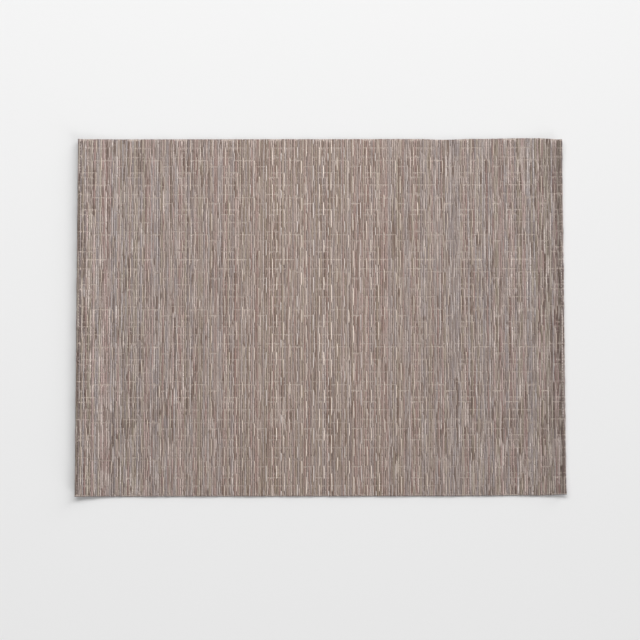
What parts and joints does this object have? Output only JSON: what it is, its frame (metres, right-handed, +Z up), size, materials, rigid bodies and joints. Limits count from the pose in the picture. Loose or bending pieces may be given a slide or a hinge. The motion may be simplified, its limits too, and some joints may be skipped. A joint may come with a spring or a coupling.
{
  "type": "doormat",
  "caption": "Flat rectangular woven mat of warp-striped plastic-coated yarn, with a narrow stitched hem turned under at both short sides.",
  "frame": {"origin": "middle of the mat's outline, on the surface that it lies on", "axes": "+X along the long side, towards the right hem; +Y towards the far cut edge; +Z up out of the mat's face"},
  "size_m": [0.762, 0.5598, 0.0078],
  "materials": {
    "woven_yarn": "warp-striped plastic-coated yarn, satin, taupe with lighter and darker ends and pale warp floats"
  },
  "bodies": {
    "root": {"mat": "woven_yarn"}
  },
  "joints": []
}
